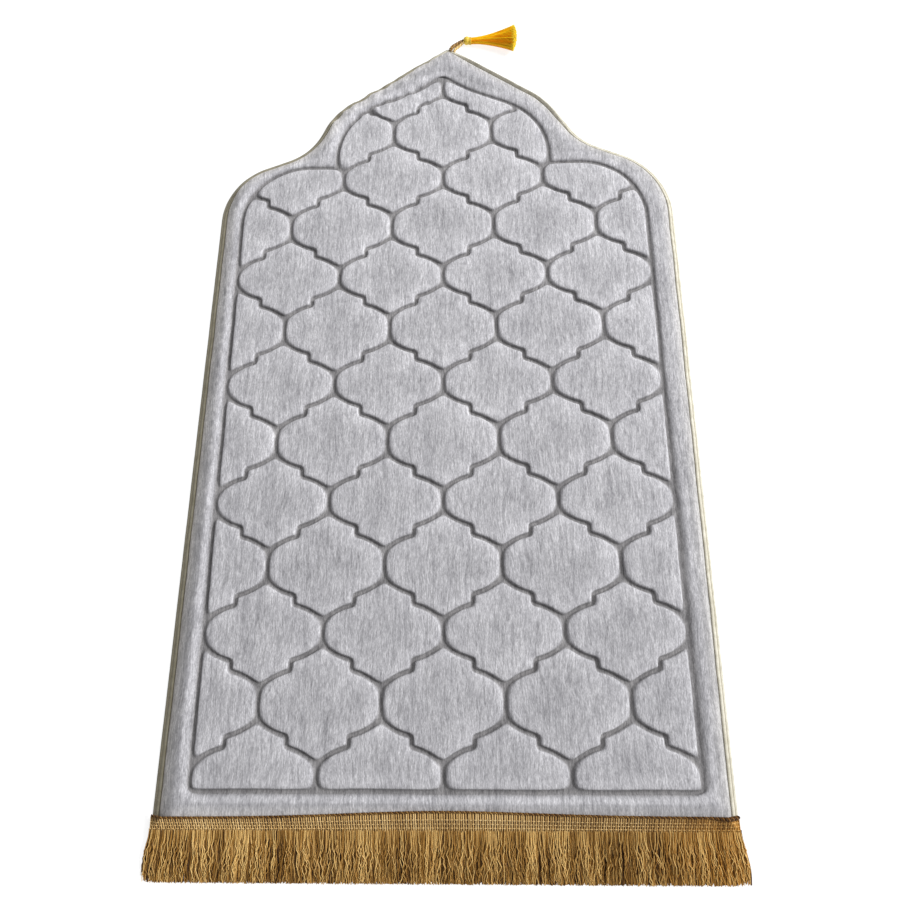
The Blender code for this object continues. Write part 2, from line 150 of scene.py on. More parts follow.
LIP_SECTION = (               # outset from the pad's wall, height, share of the seam's darker colour, partly painted shade in the creases
    (0.0002, 0.0004, 0.0),
    (0.0043, 0.0002, 0.0),
    (0.0084, 0.0003, 0.0),
    (0.0090, 0.0009, 0.0),
    (0.0088, 0.0018, 0.0),
    (0.0079, 0.0032, 0.0),
    (0.0063, 0.0043, 0.0),
    (0.0056, 0.0043, 0.4),
    (0.0052, 0.0040, 0.9),
    (0.0048, 0.0050, 0.3),
    (0.0037, 0.0067, 0.0),
    (0.0020, 0.0077, 0.0),
    (0.0006, 0.0075, 0.1),
    (0.0000, 0.0062, 0.3),
)
DROOP = 0.36                  # how much flatter the left side's edge lies
DROOP_REACH = 0.022           # how far in from the lip that is felt
DROOP_X = (-0.180, -0.260)
DROOP_Y = (0.99, 0.84)
ARCH_LIP_RISE = 0.75          # how much the lip's outer part is turned up beside the arch's right slope
ARCH_LIP_OUTER = (0.0006, 0.0045)
ARCH_EDGE_SINK = 0.10         # and how much lower the plush ends there
ARCH_X = (0.010, 0.045)
ARCH_Y = (0.93, 0.99)

# Fringe: rope edge, woven heading and loose yarns.
HEM_MIDDLE_X = (HEM_RIGHT - HEM_LEFT) / 2
HEM_HALF_WIDTH = (HEM_RIGHT + HEM_LEFT) / 2
HEADING_SECTION = (           # distance in from the rug's outline, height of the cloth's middle
    (0.0230, 0.0173),
    (0.0208, 0.0171),
    (0.0149, 0.0150),
    (0.0104, 0.0113),
    (0.0070, 0.0086),
    (0.0040, 0.0066),
    (0.0010, 0.0053),
    (-0.0030, 0.0036),
)
CLOTH_THICKNESS = 0.0009
ROPE_INWARD = (0.0153, 0.0223, 0.0168)    # of its middle from the outline: left, middle, right
ROPE_BULGE = 0.15             # how far from the middle that stands out
ROPE_PLY_RADIUS = 0.00085
ROPE_THICK_END = (0.292, 0.315, 1.8)      # from, to, share of the radius at the right end
HEADING_END = -0.0022         # the ribs' lower end, beyond the outline
RIB_PITCH = 0.0027
RIB_RADIUS = 0.00085
RIB_STEPS = 11
ROW_SHARES = (0.66, 0.46, 0.26)           # places of the three rows of binding thread
ROW_RADIUS = 0.00060
ROW_HEIGHTS = (0.0001, 0.0015)            # under and over a rib
YARN_LAYERS = (               # per metre, radius, height, share of the reach, liveliness, shade
    # The shade column is painted: the bottom layer darker as shade under the others, the top layer
    # lighter as light on it.
    (1600, 0.00095, 0.0011, 0.985, 0.12, -0.20),
    (900, 0.00050, 0.0024, 1.00, 1.3, -0.02),
    (640, 0.00045, 0.0038, 0.99, 2.2, 0.16),
)
ROOT_LIFTS = (0.0002, 0.0010, 0.0015)     # of the layers' yarns where they leave the heading
YARN_REACH = 0.0540
YARN_STEPS = 12
YARN_WAVES = ((0.0008, 1.7), (0.0004, 4.8))           # height, turns
LOCKS = (                     # pitch, pull to the middle, swing of the end
    (0.0048, 0.40, 0.0034),
    (0.0170, 0.14, 0.0050),
)
CORNER_FLARE = (0.0052, 0.0070)           # left, right
FLARE_POWER = 12
CORNER_DRAW_IN = 0.20         # how much shorter the outermost yarns reach

# Tassel.
TASSEL_ROOT = Vector((0.0430, 1.1262, 0.0058))
TASSEL_TURN = math.radians(-3.0)
HEAD_RADIUS = 0.0057
SKIRT_LENGTH = 0.0750
NECK_RADIUS = 0.0043
SKIRT_WIDTH = 0.0470
SKIRT_HEIGHT = 0.0230
SKIRT_FLARE = 1.9
SKIRT_YARNS = 700
SKIRT_YARN_RADIUS = 0.00052
LOOP_LEGS = (                 # from the seam, over the lip, to the head
    (
        (0.0122, 1.1060, 0.0066),
        (0.0138, 1.1092, 0.0088),
        (0.0168, 1.1138, 0.0082),
        (0.0206, 1.1184, 0.0064),
        (0.0252, 1.1226, 0.0056),
        (0.0302, 1.1254, 0.0057),
        (0.0345, 1.1266, 0.0058),
    ),
    (
        (0.0178, 1.1036, 0.0066),
        (0.0192, 1.1064, 0.0084),
        (0.0214, 1.1102, 0.0076),
        (0.0244, 1.1144, 0.0060),
        (0.0280, 1.1186, 0.0055),
        (0.0314, 1.1222, 0.0056),
        (0.0345, 1.1248, 0.0058),
    ),
)
LOOP_PLY_RADII = (0.00160, 0.00125)       # of the left and the right leg

# Camera, as fitted to the trellis in the photo.
CAMERA_PLACE = (0.038, 0.194, 0.870)      # from the hem line
CAMERA_HEADING = math.radians(6.41)
CAMERA_PITCH = math.radians(73.39)        # below the horizon
CAMERA_ROLL = math.radians(-6.92)
FRAME_PIXELS = 900
FOCAL_PIXELS = 689.1
SENSOR = 36.0


# ---------------------------------------------------------------- outlines

def fillet(before, corner, after, radius):
    """Points along the arc that rounds a corner."""
    arriving = (corner - before).normalized()
    leaving = (after - corner).normalized()
    turn = arriving.angle_signed(leaving)
    tangent = radius * math.tan(abs(turn) / 2)
    start = corner - arriving * tangent
    centre = start + Vector((-arriving.y, arriving.x)) * math.copysign(radius, -turn)
    steps = max(2, math.ceil(abs(turn) / ARC_STEP))
    spoke = start - centre
    return [centre + Matrix.Rotation(-turn * step / steps, 2) @ spoke for step in range(steps + 1)]


def rounded(right, tip, left):
    """Turn both halves' corners and the tip into the points of the whole closed outline."""
    mirrored = [(-x, y, radius) for x, y, radius in reversed(left)]
    ring = list(right) + [(tip[0], tip[1], 0.0)] + mirrored
    points = []
    for index, (x, y, radius) in enumerate(ring):
        corner = Vector((x, y))
        before = Vector(ring[index - 1][:2])
        after = Vector(ring[(index + 1) % len(ring)][:2])
        points.extend(fillet(before, corner, after, radius) if radius else [corner])
    return with_short_runs(points)


def with_short_runs(points):
    """Cut an outline's straight runs into pieces of at most the longest run."""
    result = []
    for index, point in enumerate(points):
        following = points[(index + 1) % len(points)]
        pieces = max(1, math.ceil((following - point).length / LONGEST_RUN - 0.01))
        result.extend(point.lerp(following, piece / pieces) for piece in range(pieces))
    return result


def moved_out(points, distance):
    """Move an outline's points straight out by a distance, or in by a negative one."""
    result = []
    for index, point in enumerate(points):
        arriving = (point - points[index - 1]).normalized()
        leaving = (points[(index + 1) % len(points)] - point).normalized()
        normal = Vector((arriving.y + leaving.y, -arriving.x - leaving.x)).normalized()
        reach = distance / normal.dot(Vector((arriving.y, -arriving.x)))
        result.append(point + normal * reach)
    for index in sharp_corners(points):
        for side in (1, -1):
            along = (points[(index + side) % len(points)] - points[index]).normalized()
            for step in range(1, MOST_FOLDED):
                other = (index + side * step) % len(points)
                if (result[other] - result[index]).dot(along) > SHORTEST_RUN:
                    break
                result[other] = result[index]
    return result


def sharp_corners(points):
    corners = []
    for index, point in enumerate(points):
        arriving = point - points[index - 1]
        leaving = points[(index + 1) % len(points)] - point
        if arriving.angle(leaving) > SHARP_TURN:
            corners.append(index)
    return corners


def cell_outline(middle_x, middle_y, side, next_side):
    """Outline of one trellis cell, given its own upright sides and those of the next rows."""
    run = CELL_WIDTH / 4
    rise = ROW_PITCH - (side + next_side) / 2
    climb = (rise - STEP_HEIGHT) / 2
    bow = (SLANT_SLOPE * run - climb) / run ** 2
    lower_half = []
    for piece in range(SLANT_PIECES + 1):
        x = run * piece / SLANT_PIECES
        lower_half.append((x, SLANT_SLOPE * x - bow * x * x))
    upper_half = [(2 * run - x, rise - y) for x, y in reversed(lower_half)]
    quarter = [(CELL_WIDTH / 2 - x, side / 2 + y) for x, y in lower_half + upper_half]
    half = quarter + [(-x, y) for x, y in reversed(quarter[:-1])]
    whole = half + [(-x, -y) for x, y in half[:-1]] + [(-half[-1][0], -half[-1][1])]
    return with_short_runs([Vector((middle_x + x, middle_y + y)) for x, y in whole])


def trellis_cells():
    """Outlines of all the cells that the panel may hold."""
    outlines = []
    for row in range(ROW_COUNT):
        on_centre = row % 2 == 1
        side = MIDDLE_CELL_SIDE if on_centre else BETWEEN_CELL_SIDE
        next_side = BETWEEN_CELL_SIDE if on_centre else MIDDLE_CELL_SIDE
        for shift in (-2, -1, 0, 1, 2) if on_centre else (-1.5, -0.5, 0.5, 1.5):
            outlines.append(
                cell_outline(shift * CELL_WIDTH, LOWEST_ROW_Y + row * ROW_PITCH, side, next_side))
    return outlines


# ---------------------------------------------------------------- plush

def add_panel(bm):
    """Add the panel's cells as flat faces that meet along the grooves' lines."""
    outlines = [rounded(PANEL_CORNERS, PANEL_TIP, PANEL_CORNERS)] + trellis_cells()
    points, polygons = [], []
    for outline in outlines:
        polygons.append(list(range(len(points), len(points) + len(outline))))
        points.extend(outline)
    spots, _, regions, _, _, sources = delaunay_2d_cdt(points, [], polygons, 3, SAME_POINT)
    verts = {}
    cells, floor = [], []
    for region, source in zip(regions, sources):
        if 0 not in source:
            continue
        for spot in region:
            if spot not in verts:
                verts[spot] = bm.verts.new((spots[spot].x, spots[spot].y, GROOVE_FLOOR))
        face = bm.faces.new([verts[spot] for spot in region])
        (cells if len(source) > 1 else floor).append(face)
    dissolve_near_meetings(bm)
    return cells, floor


def dissolve_near_meetings(bm):
    """Drop the bends that crowd the places where a groove meets the panel's edge."""
    crowded = []
    for vert in bm.verts:
        if len(vert.link_edges) != 2:
            continue
        behind, ahead = (edge.other_vert(vert).co - vert.co for edge in vert.link_edges)
        panel_corner = vert.is_boundary and ahead.angle(-behind) > 3 * ARC_STEP
        for edge in vert.link_edges:
            other = edge.other_vert(vert)
            meets = len(other.link_edges) > 2 and other.is_boundary
            if meets and edge.calc_length() < MEETING_CLEARANCE and not panel_corner:
                crowded.append(vert)
    bmesh.ops.dissolve_verts(bm, verts=list(set(crowded)))


def boundary_ring(faces):
    """The verts round the panel, in order, with the panel on the left."""
    following = {}
    for face in faces:
        for loop in face.loops:
            if len(loop.edge.link_faces) == 1:
                following[loop.vert] = loop.link_loop_next.vert
    ring = [next(iter(following))]
    while following[ring[-1]] is not ring[0]:
        ring.append(following[ring[-1]])
    return ring


def new_ring(bm, points, height):
    """A ring of verts at a height, with one vert where points share a place."""
    made = {}
    ring = []
    for point in points:
        place = tuple(point)
        if place not in made:
            made[place] = bm.verts.new((*place, height))
        ring.append(made[place])
    return ring


def join_rings(bm, ring, other):
    """Join two rings of as many places with faces."""
    for index in range(len(ring)):
        corners = dict.fromkeys((ring[index - 1], other[index - 1], other[index], ring[index]))
        if len(corners) > 2:
            bm.faces.new(list(corners))
    return other


def add_ring(bm, ring, points, height):
    """Add a ring of verts at a height and join it to an earlier ring with as many places."""
    return join_rings(bm, ring, new_ring(bm, points, height))


def rim_tree(rings):
    """A search tree of places along some rings of verts, for distances to them."""
    places = []
    for ring in rings:
        for index, vert in enumerate(ring):
            before = ring[index - 1].co
            pieces = math.ceil((vert.co - before).length / RIM_STEP)
            places.extend(before.lerp(vert.co, piece / pieces) for piece in range(pieces))
    tree = KDTree(len(places))
    for index, place in enumerate(places):
        tree.insert((place.x, place.y, 0.0), index)
    tree.balance()
    return tree


def fill_level(bm, rings, spacing, crown=(0.0, 1.0)):
    """Fill a ring, but not the hole that a second ring leaves, with triangles of an even size.

    The crown is how much the middle rises above the rim, and over what distance.
    """
    rings = [list(dict.fromkeys(ring)) for ring in rings]
    verts = [vert for ring in rings for vert in ring]
    rim = rim_tree(rings)
    low = Vector((min(vert.co.x for vert in rings[0]), min(vert.co.y for vert in rings[0])))
    high = Vector((max(vert.co.x for vert in rings[0]), max(vert.co.y for vert in rings[0])))
    inner, rises = [], []
    rows = math.ceil((high.y - low.y) / (spacing * math.sqrt(0.75)))
    columns = math.ceil((high.x - low.x) / spacing)
    for row in range(rows):
        for column in range(columns + 1):
            x = low.x + spacing * (column + row % 2 / 2)
            y = low.y + spacing * math.sqrt(0.75) * (row + 0.5)
            distance = rim.find((x, y, 0.0))[2]
            if distance > 0.6 * spacing:
                inner.append(Vector((x, y)))
                rises.append(crown[0] * (1 - math.exp(-distance / crown[1])))
    loops, start = [], 0
    for ring in rings:
        loops.append(list(range(start, start + len(ring))))
        start += len(ring)
    spots, _, triangles, sources, _, owners = delaunay_2d_cdt(
        [vert.co.xy for vert in verts] + inner, [], loops, 1, SAME_HEIGHT)
    level = verts[0].co.z
    made = {}
    faces = []
    for triangle, owner in zip(triangles, owners):
        if 1 in owner:
            continue
        corners = []
        for spot in triangle:
            source = sources[spot][0]
            if source < len(verts):
                corners.append(verts[source])
                continue
            if spot not in made:
                made[spot] = bm.verts.new((*spots[spot], level + rises[source - len(verts)]))
            corners.append(made[spot])
        faces.append(bm.faces.new(corners))
    return faces


def softened(points, rounds, gives=None):
    """Round off the corners of a closed line of points, each as much as it gives."""
    gives = gives or [1.0] * len(points)
    for _ in range(rounds):
        points = [point.lerp((points[index - 1] + points[(index + 1) % len(points)]) / 2, give / 2)
                  for index, (point, give) in enumerate(zip(points, gives))]
    return points


def add_shoulder(bm, ring):
    """Add a cell's last ring, where there is room for it."""
    inset, rise = CELL_SHOULDER
    line = [vert.co.xy for vert in ring]
    moved = moved_out(line, -inset)
    for index, point in enumerate(moved):
        run = line[index] - line[index - 1]
        if run.length < SAME_POINT or (point - moved[index - 1]).dot(run) < 0.15 * run.dot(run):
            return ring
    return add_ring(bm, ring, moved, ring[0].co.z + rise)


def cell_gives(cell):
    """How much each corner of a cell gives: mostly the ends of its upright sides."""
    verts = [loop.vert for loop in cell.loops]
    gives = [0.0] * len(verts)
    for index, vert in enumerate(verts):
        if len(vert.link_edges) < 3:
            continue
        gives[index] = max(gives[index], MEETING_GIVE)
        turn = (vert.co - verts[index - 1].co).angle(verts[(index + 1) % len(verts)].co - vert.co)
        if UPRIGHT_TURN[0] < turn < UPRIGHT_TURN[1]:
            for away, give in enumerate(UPRIGHT_GIVE):
                for other in (index - away, (index + away) % len(verts)):
                    gives[other] = max(gives[other], give)
    return gives


def smooth_share(value, start, end):
    """How far a value has come from a start to an end, eased at both."""
    share = min(1.0, max(0.0, (value - start) / (end - start)))
    return share * share * (3 - 2 * share)


def widened(points, distance):
    """Move the points at the lower right side out, where the frame's groove is wider."""
    result = []
    for point in points:
        share = smooth_share(point.x, *WIDENING_X) * smooth_share(point.y, *WIDENING_Y)
        result.append(Vector((point.x + distance * share, point.y)))
    return result


def beside_arch(point):
    """How much a place belongs to the arch's right slope."""
    return smooth_share(point.x, *ARCH_X) * smooth_share(point.y, *ARCH_Y)


def build_plush():
    """The padded body: plush face with its relief, and a plain cloth back."""
    bm = bmesh.new()
    pressed_pile_and_painted_light = bm.verts.layers.float.new("pressed_pile_and_painted_light")
    edge_light_share = bm.verts.layers.float.new("edge_light_share")
    cells, floor = add_panel(bm)
    ring = boundary_ring(cells + floor)
    line = [vert.co.xy for vert in ring]
    outset, height = 0.0, GROOVE_FLOOR
    for number, (step, rise, rounds) in enumerate(BORDER_INNER_RINGS):
        outset += step
        height += rise
        wider = GROOVE_WIDENING * number / (len(BORDER_INNER_RINGS) - 1)
        places = widened(softened(moved_out(line, outset), rounds), wider)
        ring = add_ring(bm, ring, places, height)
    inner_ring = ring

    edge = rounded(RUG_RIGHT, RUG_TIP, RUG_LEFT)
    inset, height = LIP_WIDTH + PIECE_GAP, WALL_TOP
    wall = moved_out(edge, -inset)
    base = new_ring(bm, wall, 0.0)
    fill_level(bm, [base], BACK_SPACING)
    ring = add_ring(bm, base, wall, WALL_TOP)
    outer_side = set(ring)
    # The outer rings' share, read by the plush finish for its painted light and shade along the edge.
    for vert in ring:
        vert[edge_light_share] = 1.0
    for number, (step, rise) in enumerate(BORDER_OUTER_RINGS):
        inset += step
        height += rise
        ring = add_ring(bm, ring, moved_out(edge, -inset), height)
        outer_side.update(ring)
        for vert in ring:
            vert[edge_light_share] = 1 - (number + 1) / (len(BORDER_OUTER_RINGS) + 1)
    fill_level(bm, [ring, inner_ring], BORDER_SPACING, BORDER_CROWN)
    for vert in outer_side:
        vert.co.z *= 1 - ARCH_EDGE_SINK * beside_arch(vert.co)

    gives = [cell_gives(cell) for cell in cells]
    for inset, rise, rounds in CELL_RINGS:
        bmesh.ops.inset_individual(bm, faces=cells, thickness=inset, depth=rise,
                                   use_even_offset=True)
        for cell, give in zip(cells, gives):
            verts = [loop.vert for loop in cell.loops]
            places = softened([vert.co.copy() for vert in verts], rounds, give)
            for vert, place in zip(verts, places):
                vert.co = place
    tops = [[loop.vert for loop in cell.loops] for cell in cells]
    bmesh.ops.delete(bm, geom=cells, context="FACES_ONLY")
    for top in tops:
        fill_level(bm, [add_shoulder(bm, top)], TOP_SPACING, CELL_CROWN)
    bmesh.ops.recalc_face_normals(bm, faces=bm.faces)
    # Share of the depth into a groove, for the finish's painted rim highlight and the grooves' darker
    # colour, partly pressed pile and partly painted shade.
    for vert in bm.verts:
        depth = (RIM_TOP - vert.co.z) / (RIM_TOP - GROOVE_FLOOR)
        on_panel = vert.co.z > GROOVE_FLOOR - SAME_HEIGHT and vert not in outer_side
        vert[pressed_pile_and_painted_light] = min(1.0, max(0.0, depth)) if on_panel else 0.0
    return soft_mesh("plush_pad", bm, 1)


def soft_mesh(name, bm, levels):
    """A smooth mesh from a coarse cage, by subdivision."""
    cage = object_from("cage", bm)
    surface = cage.modifiers.new("smooth", "SUBSURF")
    surface.levels = surface.render_levels = levels
    piece = applied(name, cage)
    piece.data.shade_smooth()
    return piece


def applied(name, source):
    """A plain mesh object from what an object shows, which is then removed."""
    bpy.context.view_layer.update()
    shown = source.evaluated_get(bpy.context.evaluated_depsgraph_get())
    mesh = bpy.data.meshes.new_from_object(shown)
    mesh.name = name
    bpy.data.objects.remove(source)
    piece = bpy.data.objects.new(name, mesh)
    bpy.context.scene.collection.objects.link(piece)
    return piece


def object_from(name, bm):
    mesh = bpy.data.meshes.new(name)
    bm.to_mesh(mesh)
    bm.free()
    piece = bpy.data.objects.new(name, mesh)
    bpy.context.scene.collection.objects.link(piece)
    return piece


def droop(place):
    """How much a place near the left side's edge is flattened."""
    outline_x = -HEM_LEFT + (HEM_LEFT - RUG_LEFT[1][0]) * place.y / RUG_LEFT[1][1]
    from_lip = place.x - outline_x - LIP_WIDTH
    share = smooth_share(from_lip, DROOP_REACH, 0.0)
    return DROOP * share * smooth_share(place.x, *DROOP_X) * smooth_share(place.y, *DROOP_Y)


def make_uneven(piece):
    """Move a piece's points a little, so that its padding looks uneven, but not where it rests."""
    for vert in piece.data.vertices:
        vert.co.z *= 1 - droop(vert.co)
        give = min(1.0, max(0.0, vert.co.z / FIRM_BELOW))
        place = Vector((vert.co.x, vert.co.y, 0.0))
        for amount, size in UNEVENNESS:
            vert.co += give * amount * noise.noise_vector(place / size)
        if place.y > CRUMPLE_FROM and place.x < 0.0:
            amount, size = CRUMPLE
            share = min(1.0, 30 * (place.y - CRUMPLE_FROM)) * min(1.0, -50 * place.x)
            vert.co += give * share * amount * noise.noise_vector(place / size)


def build_lip():
    """The rolled lip round the pad's edge."""
    bm = bmesh.new()
    seam = bm.verts.layers.float.new("seam")
    edge = rounded(RUG_RIGHT, RUG_TIP, RUG_LEFT)
    rings = []
    for outset, height, share in LIP_SECTION:
        rings.append(new_ring(bm, moved_out(edge, outset - LIP_WIDTH), height))
        for vert in rings[-1]:
            vert[seam] = share
            turned_up = ARCH_LIP_RISE * smooth_share(outset, *ARCH_LIP_OUTER)
            vert.co.z *= 1 + turned_up * beside_arch(vert.co)
    for lower, upper in zip(rings, rings[1:] + rings[:1]):
        join_rings(bm, lower, upper)
    bmesh.ops.recalc_face_normals(bm, faces=bm.faces)
    return soft_mesh("rolled_lip", bm, 1)


# ---------------------------------------------------------------- yarns and cords

def yarns(name, routes, radius, shades=None, sides=4):
    """Many yarns as one mesh.

    A route is a list of (point, share of the radius).  A shade is a yarn's own lightness, kept with
    the share of its length in the attributes "shade" and "along".
    """
    curve = bpy.data.curves.new(name, "CURVE")
    curve.dimensions = "3D"
    curve.bevel_depth = radius
    curve.bevel_resolution = sides // 2 - 2
    curve.use_fill_caps = True
    for route in routes:
        spline = curve.splines.new("POLY")
        spline.points.add(len(route) - 1)
        for spot, (point, share) in zip(spline.points, route):
            spot.co = (*point, 1.0)
            spot.radius = share
    source = bpy.data.objects.new(name + "_curve", curve)
    bpy.context.scene.collection.objects.link(source)
    piece = applied(name, source)
    piece.data.shade_smooth()
    shades = shades or [0.5] * len(routes)
    values = []                   # of each ring: first the caps, from the last yarn's end, then tubes
    for value in reversed(shades):
        values += [(value, 1.0), (value, 0.0)]
    for route, value in zip(routes, shades):
        values += [(value, step / (len(route) - 1)) for step in range(len(route))]
    around = len(piece.data.vertices) // len(values)
    for name, column in (("shade", 0), ("along", 1)):
        layer = piece.data.attributes.new(name, "FLOAT", "POINT")
        layer.data.foreach_set("value", np.repeat([value[column] for value in values], around))
    return piece


def with_shade(piece, value):
    """Give a whole piece one shade."""
    shade = piece.data.attributes.new("shade", "FLOAT", "POINT")
    shade.data.foreach_set("value", [value] * len(piece.data.vertices))
    return piece


def twisted(points, plies, radius, pitch):
    """Routes of the plies of a cord that is twisted round a line of points."""
    routes = [[] for _ in range(plies)]
    travelled = 0.0
    for index, point in enumerate(points):
        ahead = points[min(index + 1, len(points) - 1)] - points[max(index - 1, 0)]
        if index:
            travelled += (point - points[index - 1]).length
        side = ahead.cross(Vector((0, 0, 1))).normalized()
        up = side.cross(ahead).normalized()
        for ply in range(plies):
            angle = 2 * math.pi * (travelled / pitch + ply / plies)
            routes[ply].append((point + radius * (side * math.cos(angle) + up * math.sin(angle)), 1.0))
    return routes


def resampled(points, step):
    """Points a step apart along a smooth curve through some points."""
    dense = []
    padded = [points[0]] + list(points) + [points[-1]]
    for p0, p1, p2, p3 in zip(padded, padded[1:], padded[2:], padded[3:]):
        for piece in range(12):
            t = piece / 12
            dense.append(0.5 * ((2 * p1) + (p2 - p0) * t + (2 * p0 - 5 * p1 + 4 * p2 - p3) * t * t
                                + (3 * p1 - p0 - 3 * p2 + p3) * t ** 3))
    dense.append(points[-1])
    result, left = [dense[0]], step
    for start, end in zip(dense, dense[1:]):
        length = (end - start).length
        while length >= left and length > 0:
            start = start.lerp(end, left / length)
            result.append(start)
            length = (end - start).length
            left = step
        left -= length
    result.append(dense[-1])
    return result


def heading_height(inward):
    """Height of the heading's middle at a distance in from the rug's outline."""
    for (far, high), (near, low) in zip(HEADING_SECTION, HEADING_SECTION[1:]):
        if inward >= near:
            return low + (high - low) * min(1.0, (inward - near) / (far - near))
    return HEADING_SECTION[-1][1]


def hem_point(x, inward, lift=0.0):
    """A point on the heading, lifted off its middle; it drops towards the rug's sides."""
    from_side = max(HEM_HALF_WIDTH - abs(x - HEM_MIDDLE_X), HEADING_SECTION[-2][0])
    height = heading_height(min(inward, from_side) if inward > 0 else inward)
    return Vector((x, HEM_Y + inward, height + lift))


def rope_inward(x):
    """How far in from the outline the heading's upper edge lies: it was sewn on unevenly."""
    left, middle, right = ROPE_INWARD
    side = right if x > 0 else left
    return side + (middle - side) * math.exp(-(x / ROPE_BULGE) ** 2)


def on_heading(x, share):
    """Distance in from the outline of a place on the heading: 0 is its lower end, 1 its upper."""
    return HEADING_END + share * (rope_inward(x) - HEADING_END)


def across_hem(count, margin=0.0):
    """Places from the left end of the hem to the right."""
    reach = HEM_HALF_WIDTH - margin
    return [HEM_MIDDLE_X + reach * (2 * index / count - 1) for index in range(count + 1)]


def build_heading_cloth():
    """The woven band over the hem, as a thin closed sheet."""
    bm = bmesh.new()
    columns = [HEM_HALF_WIDTH - far for far, _ in HEADING_SECTION[:-1]]
    middle = [columns[0] * (2 * step / 40 - 1) for step in range(1, 40)]
    xs = [HEM_MIDDLE_X + x for x in [-x for x in reversed(columns)] + middle + columns]
    rows = []
    for step in range(RIB_STEPS):
        share = 1 - step / (RIB_STEPS - 1)
        rows.append([bm.verts.new(hem_point(x, on_heading(x, share) - 0.0004, -0.0003))
                     for x in xs])
    for row, following in zip(rows, rows[1:]):
        for index in range(len(xs) - 1):
            bm.faces.new((row[index], row[index + 1], following[index + 1], following[index]))
    bmesh.ops.recalc_face_normals(bm, faces=bm.faces)
    cage = object_from("cage", bm)
    thick = cage.modifiers.new("thickness", "SOLIDIFY")
    thick.thickness = CLOTH_THICKNESS
    thick.offset = 0.0
    piece = applied("heading_cloth", cage)
    piece.data.shade_smooth()
    return with_shade(piece, 0.5)


def build_ribs():
    """The upright ribs that the fringe's yarns make on the heading."""
    draw = random.Random(7)
    ribs, shades = [], []
    for x in across_hem(round(2 * HEM_HALF_WIDTH / RIB_PITCH), 0.0012):
        x += 0.0004 * (draw.random() - 0.5)
        lean = 0.0010 * (draw.random() - 0.5)
        route = []
        for step in range(RIB_STEPS):
            share = 1 - step / (RIB_STEPS - 1)
            route.append((hem_point(x + lean * share, on_heading(x, share), 0.0003), 1.0))
        ribs.append(route)
        shades.append(0.35 + 0.3 * draw.random())
    return yarns("heading_ribs", ribs, RIB_RADIUS, shades)


def build_rows():
    """The rows of binding thread that cross the ribs."""
    rows = []
    count = 2 * round(2 * HEM_HALF_WIDTH / RIB_PITCH)
    for number, share in enumerate(ROW_SHARES):
        route = []
        for index, x in enumerate(across_hem(count, 0.0008)):
            over = (index + 2 * number) % 4 == 0
            route.append((hem_point(x, on_heading(x, share), ROW_HEIGHTS[over]), 1.0))
        rows.append(route)
    return yarns("heading_rows", rows, ROW_RADIUS, [0.70, 0.72, 0.68])


def build_rope():
    """The twisted cord along the heading's upper edge."""
    start, end, thickness = ROPE_THICK_END
    plies = [[], []]
    for step, x in enumerate(across_hem(640, 0.0010)):
        swell = min(1.0, max(0.0, (x - start) / (end - start)))
        share = 1 + (thickness - 1) * swell
        middle = hem_point(x, rope_inward(x) - 0.0016 * swell, 0.0005 + 0.0006 * swell)
        for ply in (0, 1):
            angle = 2 * math.pi * (step / 5.6 + ply / 2)
            offset = Vector((0.0, math.cos(angle), math.sin(angle))) * 0.0008 * share
            plies[ply].append((middle + offset, share))
    return yarns("heading_rope", plies, ROPE_PLY_RADIUS, [0.25, 0.55])


def build_fringe_layer(number):
    """One layer of the fringe's loose yarns, which lie on the floor and on each other."""
    per_metre, radius, level, reach, liveliness, shade = YARN_LAYERS[number]
    draw = random.Random(11 + number)
    routes, shades = [], []
    count = round(2 * HEM_HALF_WIDTH * per_metre)
    for index in range(count):
        x = HEM_HALF_WIDTH * (2 * (index + draw.random()) / count - 1)
        routes.append(yarn_route(x, number, level, reach, liveliness, draw))
        # A layer's shade is painted shade low down and painted light on top, besides each yarn's own
        # random tone.
        shades.append(0.5 + shade + 0.55 * (draw.random() - 0.5))
    return yarns("fringe_layer_%d" % (number + 1), routes, radius, shades)


def drawn_to_locks(x, number, share):
    """How far a yarn of some layer is drawn aside, at a share of its length, to the locks it is in."""
    aside = 0.0
    for level, (pitch, pull, swing) in enumerate(LOCKS):
        lock = math.floor(x / pitch + 0.37 * number)
        middle = (lock + 0.5 - 0.37 * number) * pitch
        seed = Vector((lock * 0.71, number * 5.3, 1.7 + level))
        middle += 0.25 * pitch * noise.noise(seed)
        lean = 2 * swing * noise.noise(seed + Vector((0.0, 2.6, 8.1)))
        aside += pull * (middle - x) * math.sin(math.pi * share ** 0.8) + lean * share ** 1.4
    return aside


